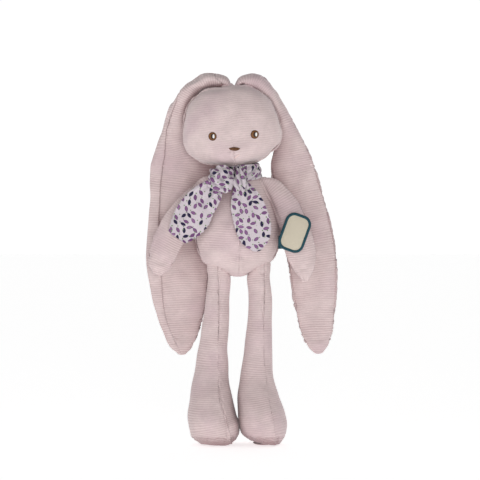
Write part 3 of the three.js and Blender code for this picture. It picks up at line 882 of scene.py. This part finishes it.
# ---------------------------------------------------------------- face

class Face:
    """The front of the head, for laying embroidery on: it gives the skin's place and slope at a point."""

    def __init__(self, head):
        points = [vertex.co.copy() for vertex in head.data.vertices]
        self.tree = BVHTree.FromPolygons(points, [list(face.vertices) for face in head.data.polygons])

    def at(self, x, z):
        starts = (Vector((across * MM, -0.2, up * MM)) for across, up in zip(x.flat, z.flat))
        hits = [self.tree.ray_cast(start, Vector(BACK)) for start in starts]
        return (np.array([hit[k] for hit in hits]).reshape(*x.shape, 3) for k in (0, 1))


def embroider(face, name, node, material, slot, outline, dome, strand, lift=0.0, aside=0.0):
    """A domed patch of satin stitch over the node's place: outline gives its edge, strand its threads."""
    low, high = cad_box(node)
    middle = (low + high) / 2
    share = np.linspace(0, 1, 13)[:, None]
    turn = circle(72)
    x, z = (share * edge for edge in outline(turn))
    spots, slopes = face.at(middle[0] + aside + x, middle[2] + z)
    spots = spots / MM
    slope = unit(slopes[1:].mean(axis=(0, 1)))
    threads = strand(x, z, turn) * np.ones_like(x)
    threads[0] = 0
    rise = lift + dome * np.sqrt(1 - share**3) + 0.05 * threads
    rise[-1] = -0.35
    grid = np.concatenate([spots + slope * rise[..., None], spots[:1] - 0.6 * slope])
    values = {"strand": np.concatenate([threads, 0 * threads[:1]]), "rim": np.append(share, 1)[:, None]}
    piece = make_object(name, grid, material, values)
    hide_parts(node)
    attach(piece, "head")


def oval(half_x, half_z, lean):
    """The outline of an oval patch that leans by some degrees."""
    cosine, sine = math.cos(math.radians(lean)), math.sin(math.radians(lean))

    def outline(turn):
        x, z = half_x * np.cos(turn), half_z * np.sin(turn)
        return x * cosine - z * sine, x * sine + z * cosine

    return outline


def boat(turn):
    """The nose: pointed tips a little raised, a low hump above and a full curve below."""
    x = np.cos(turn)
    above = NOSE["above"] * np.clip(np.sin(turn), 0, 1) ** 1.6
    below = NOSE["below"] * np.clip(-np.sin(turn), 0, 1) ** 1.25
    return NOSE["half width"] * x, above - below + NOSE["tips"] * x**4


def radial(x, z, turn):
    return np.cos(38 * turn)


def upright(x, z, turn):
    return np.cos(TURN * x / THREAD)


def slanted(x, z, turn):
    return np.cos(TURN * (0.8 * x + 0.6 * z) / THREAD)


THREAD = 0.42  # pitch of the satin stitches
# An eye's patches: stitch, CAD node, slot, half width and height, lean, dome, strands, lift, and place aside
EYE = (
    ("iris", "iris", "brown_thread", (2.9, 3.1), 18, 0.5, radial, 0.0, 0.0),
    ("pupil", "pupil", "dark_thread", (1.5, 2.1), 0, 0.3, upright, 0.35, 1.15),
    ("glint", "highlight", "white_thread", (0.72, 1.45), 0, 0.25, upright, 0.62, 0.0),
)
NOSE = {"half width": 3.95, "above": 1.15, "below": 1.5, "tips": 0.35}
MOUTH = (2.5, 0.5, 37)


def build_face(head):
    face = Face(head)
    threads = {
        "iris": thread("iris_thread", linear(128, 84, 46), 0.78, linear(86, 52, 33), (0.85, 1.12)),
        "pupil": thread("dark_thread", linear(52, 33, 24)),
        "glint": thread("white_thread", linear(246, 243, 240), 0.92),
    }
    for side, mirror in (("left", -1), ("right", 1)):
        for stitch, node, slot, half, lean, *shape in EYE:
            name = f"eye_{side}_{stitch}_stitch"
            outline = oval(*half, mirror * lean)
            embroider(face, name, f"eye_{side}_{node}", threads[stitch], slot, outline, *shape)
    brown = thread("brown_thread", linear(104, 68, 44), 0.8)
    embroider(face, "nose_stitch", "nose_embroidery", brown, "brown_thread", boat, 0.55, upright)
    pink = thread("pink_thread", linear(232, 205, 202), 0.85)
    embroider(face, "mouth_thread", "mouth_stitch", pink, "pink_thread", oval(*MOUTH), 0.3, slanted)


# ---------------------------------------------------------------- scarf

KNOT = [
    [-13.6, -18, 187.4, 5, 3], [-13.6, -18.8, 185.8, 7.8, 4.2], [-13.5, -19.8, 182, 8.7, 4.8],
    [-13.4, -20.8, 178, 9.2, 4.4], [-11.8, -21.4, 175.4, 8, 3.7], [-10.2, -21.4, 173.4, 5.4, 3.2],
    [-9.6, -21.2, 171.8, 2.8, 2],
]
KNOT_WRAP = [
    [-1.6, -18, 186.6, 2.2, 2.4], [-1.4, -19, 184, 4.2, 3.8], [-1.2, -20.2, 180.5, 4.9, 4.2],
    [-1, -21.6, 177.4, 4.8, 3.4], [-0.8, -22, 174.6, 3.8, 2.8], [-0.8, -22, 172.8, 2, 1.6],
]
TAILS = {
    "left": [
        [-0.8, -21.6, 176.5, 4.8, 1.5], [1.2, -22.4, 170, 8.4, 1.5], [3, -22.8, 163.4, 10.9, 1.5],
        [5.2, -23, 156, 11.9, 1.6], [7.2, -22.8, 149, 12.1, 1.6], [8.4, -22.2, 142.6, 11.2, 1.5],
        [9.4, -21.6, 137, 8.6, 1.4], [10.2, -21.2, 133.4, 5, 1.2], [10.6, -21, 131.4, 2.2, 1.2],
    ],
    "right": [
        [-16, -20.6, 176.5, 5, 1.5], [-19, -20.6, 173.2, 7.4, 1.5], [-22.8, -20.4, 169, 9.5, 1.5],
        [-28.4, -19.9, 162.5, 11.2, 1.6], [-33, -19, 154.8, 12.2, 1.6], [-38, -17.8, 147.7, 10.8, 1.5],
        [-41.4, -17, 143.4, 8.8, 1.3], [-43.6, -16.6, 140.2, 6.4, 1.1],
    ],
}
TAIL_LEADS = {
    "left": [[-2, -21, 181, 3, 1.2]],
    "right": [[-11.5, -20, 180, 3, 1.2]],
}
SCARF_STEP = 0.32  # spacing of the scarf's grid, fine enough to carry its print
LEAF = {"half length": 2.2, "half width": 1.12, "from stem": 2.7, "apart": 0.3, "dark": 0.22}
SPRIG_PITCH = 4.3
BUD = 0.5
BAND = {"x": -4.3, "z": 183, "rise": 2.2, "width": 15.8, "depth": 14.6, "half height": 5.2, "thickness": 1.3}


def leaf_spine(place, lean):
    """Points along the middle of a leaf, and its half width at each."""
    share = np.linspace(-1, 1, 7)
    points = place + LEAF["half length"] * share[:, None] * np.array((math.cos(lean), math.sin(lean)))
    return points, LEAF["half width"] * (1 - share**2)


def leaf_gap(one, other):
    """The room between two leaves."""
    between = np.linalg.norm(one[0][:, None] - other[0][None], axis=-1)
    return (between - one[1][:, None] - other[1][None]).min()


def leaf_depth(flat, place, lean):
    """How far inside a leaf at that place some flat points lie; negative outside."""
    gap = flat - place
    x = gap[..., 0] * math.cos(lean) + gap[..., 1] * math.sin(lean)
    y = gap[..., 1] * math.cos(lean) - gap[..., 0] * math.sin(lean)
    return LEAF["half width"] * (1 - (x / LEAF["half length"]) ** 2) - np.abs(y)


def print_leaves(flat, seed):
    """How far inside a leaf and a bud each flat cloth point lies, and the shade of its leaf."""
    rng = np.random.default_rng(seed)
    low = flat.min(axis=(0, 1)) - SPRIG_PITCH
    high = flat.max(axis=(0, 1)) + SPRIG_PITCH
    leaves, buds = [], []
    for row, v in enumerate(np.arange(low[1], high[1], SPRIG_PITCH * 0.87)):
        for u in np.arange(low[0] + row % 2 * SPRIG_PITCH / 2, high[0], SPRIG_PITCH):
            stem = np.array((u, v)) + rng.uniform(-1.3, 1.3, 2)
            buds.append(stem)
            turn = rng.uniform(0, TURN)
            for k in range(4):
                angle = turn + k * TURN / 4 + rng.uniform(-0.35, 0.35)
                place = stem + LEAF["from stem"] * np.array((math.cos(angle), math.sin(angle)))
                lean, tone = angle + rng.uniform(-0.5, 0.5), rng.uniform()
                spine = leaf_spine(place, lean)
                if all(leaf_gap(spine, leaf_spine(*other[:2])) > LEAF["apart"] for other in leaves):
                    leaves.append((place, lean, tone))
    inside = np.full(flat.shape[:2], -9.0)
    tone = np.zeros(flat.shape[:2])
    for place, lean, shade in leaves:
        depth = leaf_depth(flat, place, lean)
        tone = np.where(depth > inside, shade, tone)
        inside = np.maximum(depth, inside)
    bud = np.max([BUD - np.linalg.norm(flat - place, axis=-1) for place in buds], axis=0)
    return {"leaf": inside, "tone": tone, "bud": bud}


def on_cloth(flat):
    """Flat coordinates as the three that the materials read."""
    return np.concatenate([flat, 0 * flat[..., :1]], axis=-1)


def printed(u, v, crease, seed):
    """The values at the scarf's points: its print, its flat coordinates and the painted shade in its creases.
    """
    flat = np.stack([u, v * np.ones_like(u)], axis=-1)
    return {"cloth": on_cloth(flat), "crease": crease, **print_leaves(flat, seed)}


def scarf_part(table, seams=(180,), lead=()):
    return Part(table, None, [Seam(angle) for angle in seams], lead, row=SCARF_STEP, column=SCARF_STEP)


def scarf_piece(name, part, seed, cotton, nodes):
    values = printed(part.u, part.s[:, None], part.crease, seed)
    piece = make_object(name, part.points, cotton, values)
    if nodes:
        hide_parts(*nodes)
    return piece


def build_scarf():
    cotton = printed_cotton()
    build_band(cotton)
    knot = scarf_part(KNOT)
    across = np.sin(knot.angle)
    slant = knot.points[..., 0] * 0.35 + knot.points[..., 2] * 0.94
    folds = 0.7 * np.cos(TURN * slant / 5.2 + 1.2 * across) * np.clip(0.3 - across, 0.15, 1)
    folds = folds + 0.4 * ripple(knot.points, 8, 5)
    knot.push(folds)
    # Painted shade in the hollows of the folds
    knot.crease = np.clip(-2.2 * folds - 0.4, 0, 1)
    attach(scarf_piece("scarf_knot_front", knot, 3, cotton, ["scarf_knot"]), "torso")
    wrap = scarf_part(KNOT_WRAP)
    folds = 0.75 * np.cos(8 * np.sin(wrap.angle) - 0.35 * wrap.s[:, None])
    wrap.push(folds)
    # Painted shade in the hollows of the folds
    wrap.crease = np.clip(-2 * folds - 0.4, 0, 1)
    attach(scarf_piece("scarf_knot_wrap", wrap, 4, cotton, []), "torso")
    build_tail("left", 6, cotton)
    build_tail("right", 8, cotton)


def build_tail(side, seed, cotton):
    """A flat tail of the scarf: pleated under the knot, with a loose fold and a wavy hem lower down."""
    node = f"scarf_tail_{side}"
    thin = [[*section[:4], section[4] / 2] for section in TAILS[side]]
    tail = scarf_part(thin, (90, 270), TAIL_LEADS[side])
    share = np.sin(tail.angle)
    down = (tail.s / tail.s[-1])[:, None]
    gathered = bell(down, 0.38)
    pleats = np.cos(1.7 * TURN * share + seed + 1.5 * down)
    folds = 1.1 * gathered * pleats + 0.5 * (1 - gathered) * np.cos(3.5 * share + 7 * down + seed)
    curl = 0.8 * share**4 * ripple(tail.s, 10, seed)[:, None] * (1 - gathered)
    out = folds + curl + 0.35 * ripple(tail.points, 12, seed)
    hem = 0.35 * share * np.abs(share) ** 3 * np.cos(TURN * tail.s / 3.1)[:, None] * down
    tail.points = tail.points - BACK * out[..., None] + tail.across[:, None] * hem[..., None]
    # Painted shade in the hollows of the pleats
    tail.crease = np.clip(-1.2 * pleats * gathered - 0.35, 0, 0.9)
    piece = scarf_piece(f"{node}_sheet", tail, seed, cotton, [node])
    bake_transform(piece)


def build_band(cotton):
    """The scarf round the neck: one soft roll, with folds that run along it."""
    around = int(TURN * BAND["width"] / SCARF_STEP)
    across = int(4.6 * BAND["half height"] / SCARF_STEP)
    turn = circle(around)[:, None]
    section = circle(across)
    side = np.sin(turn)  # 1 at the doll's left, -1 at its right
    out = np.sign(np.cos(section)) * np.abs(np.cos(section)) ** 0.6
    up = np.sin(section) * (1 + 0.06 * np.sin(2 * turn + 1))
    height = up * BAND["half height"]
    wander = 0.6 * np.sin(2 * turn + 0.6) + 0.25 * np.sin(5 * turn)
    folds = 0.6 * np.cos(TURN * (height / 4.4 + wander)) * np.clip(out, 0, 1)
    swell = BAND["thickness"] * out * (1 - 0.25 * up**2) + folds - 0.9 * up
    x = BAND["x"] + (BAND["width"] + swell) * side
    y = -(BAND["depth"] + swell) * np.cos(turn)
    behind = np.clip(-np.cos(turn), 0, 1)
    z = BAND["z"] + height + BAND["rise"] * side + 1.4 * behind + 0.4 * np.sin(3 * turn + 2)
    u = section / TURN * across * SCARF_STEP * np.ones_like(x)
    # Painted shade in the hollows of the folds
    values = printed(u, turn * BAND["width"], np.clip(-folds * 1.6 - 0.2, 0, 1), 2)
    grid = np.stack([x, y, z], axis=-1) + MIDDLE
    band = make_object("scarf_band", grid, cotton, values, ring=True)
    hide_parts("scarf_neck_band")
    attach(band, "torso")


# ---------------------------------------------------------------- label

LABEL = {"width": 16.5, "height": 25, "corner": 5.5, "edge": 1.08, "stitch": 0.85, "tilt": -20, "inset": 0.97}


def rounded_outline(count):
    """Points round the tag's edge, evenly spaced, with their lengths along it."""
    starts = np.array((0, 90, 180, 270))
    turns = np.radians(np.linspace(starts, starts + 90, 13)).T
    signs = np.array(((1, 1), (-1, 1), (-1, -1), (1, -1)))[:, None]
    room = np.array((LABEL["width"], LABEL["height"])) / 2 - LABEL["corner"]
    path = (signs * room + LABEL["corner"] * np.stack([np.cos(turns), np.sin(turns)], axis=-1)).reshape(-1, 2)
    path = np.vstack([path, path[:1]])
    at = np.concatenate([[0], np.cumsum(np.linalg.norm(np.diff(path, axis=0), axis=1))])
    lengths = np.linspace(0, at[-1], count, endpoint=False)
    return np.stack([np.interp(lengths, at, path[:, k]) for k in range(2)], axis=1), lengths


def build_label():
    """The tag in the side seam: a slightly padded face, and an overlocked edge of slanting stitches."""
    low, high = cad_box("label_border")
    middle = (low + high) / 2
    outline, lengths = rounded_outline(240)
    lean = math.radians(LABEL["tilt"])
    turn = np.array([[math.cos(lean), -math.sin(lean)], [math.sin(lean), math.cos(lean)]])
    outline = LABEL["inset"] * outline @ turn.T

    def place(flat, lift):
        bow = 0.012 * flat[..., 0] ** 2 + 0.006 * flat[..., 1] ** 2
        return np.stack([middle[0] + flat[..., 0], middle[1] - lift + bow, middle[2] + flat[..., 1]], axis=-1)

    share, side = there_and_back(26)
    flat = outline * share[..., None]
    grid = place(flat, side * (0.35 * (1 - share**2) + 0.1))
    face = make_object("label_tag", grid, label_cloth(), {"cloth": on_cloth(flat @ turn)})
    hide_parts("label_face")
    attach(face, "label")

    spin = circle(14)
    ahead = np.roll(outline, -1, axis=0) - np.roll(outline, 1, axis=0)
    normal = unit(ahead[:, ::-1] * (1, -1))
    stitch = np.cos(TURN * lengths[:, None] / LABEL["stitch"] + 0.8 * spin)
    radius = LABEL["edge"] * (1 + 0.09 * stitch)
    flat = outline[:, None] + normal[:, None] * (radius * np.cos(spin) * 0.9)[..., None]
    teal = thread("teal_thread", linear(20, 72, 84), 0.55)
    grid = place(flat, radius * np.sin(spin) * 0.72)
    edge = make_object("label_overlock", grid, teal, {"strand": stitch}, ring=True)
    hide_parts("label_border")
    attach(edge, "label")
    build_label_stem(teal)


def build_label_stem(teal):
    """The folded strip that holds the tag: it leaves the torso's side seam and runs behind the tag."""
    low, high = cad_box("label_stem")
    start = np.array((low[0], high[1] - 1, 0))
    end = np.array((high[0], low[1] + 1, 0))
    reach = end - start
    up = np.array((0, 0, 1))
    height = (high[2] - low[2]) / 2
    along = np.array([0, *np.linspace(0, 1, 60), 1])[:, None, None]
    turn = circle(30)[:, None]
    stitch = np.cos(TURN * (along * reach[0] + 0.6 * np.cos(turn)) / LABEL["stitch"])
    grid = start + reach * along + np.cross(unit(reach), up) * np.sin(turn) * 0.45 * (1 + 0.12 * stitch)
    grid = grid + up * ((low[2] + high[2]) / 2 + height * np.cos(turn) * (1 - 0.1 * along))
    stem = make_object("label_stem_strip", grid, teal, {"strand": stitch[..., 0]})
    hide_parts("label_stem")
    ends = (tuple((place + up * row.mean(axis=0)) * MM) for place, row in ((start, grid[0]), (end, grid[-1])))
    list(ends)
    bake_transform(stem)


add_camera()
add_studio()
head = build_head()
build_torso()
build_ear("left", 41)
build_ear("right", 51)
build_arm("left", 61)
build_arm("right", 71)
build_leg("left", 81)
build_leg("right", 91)
build_sole("left")
build_sole("right")
build_face(head)
build_scarf()
build_label()
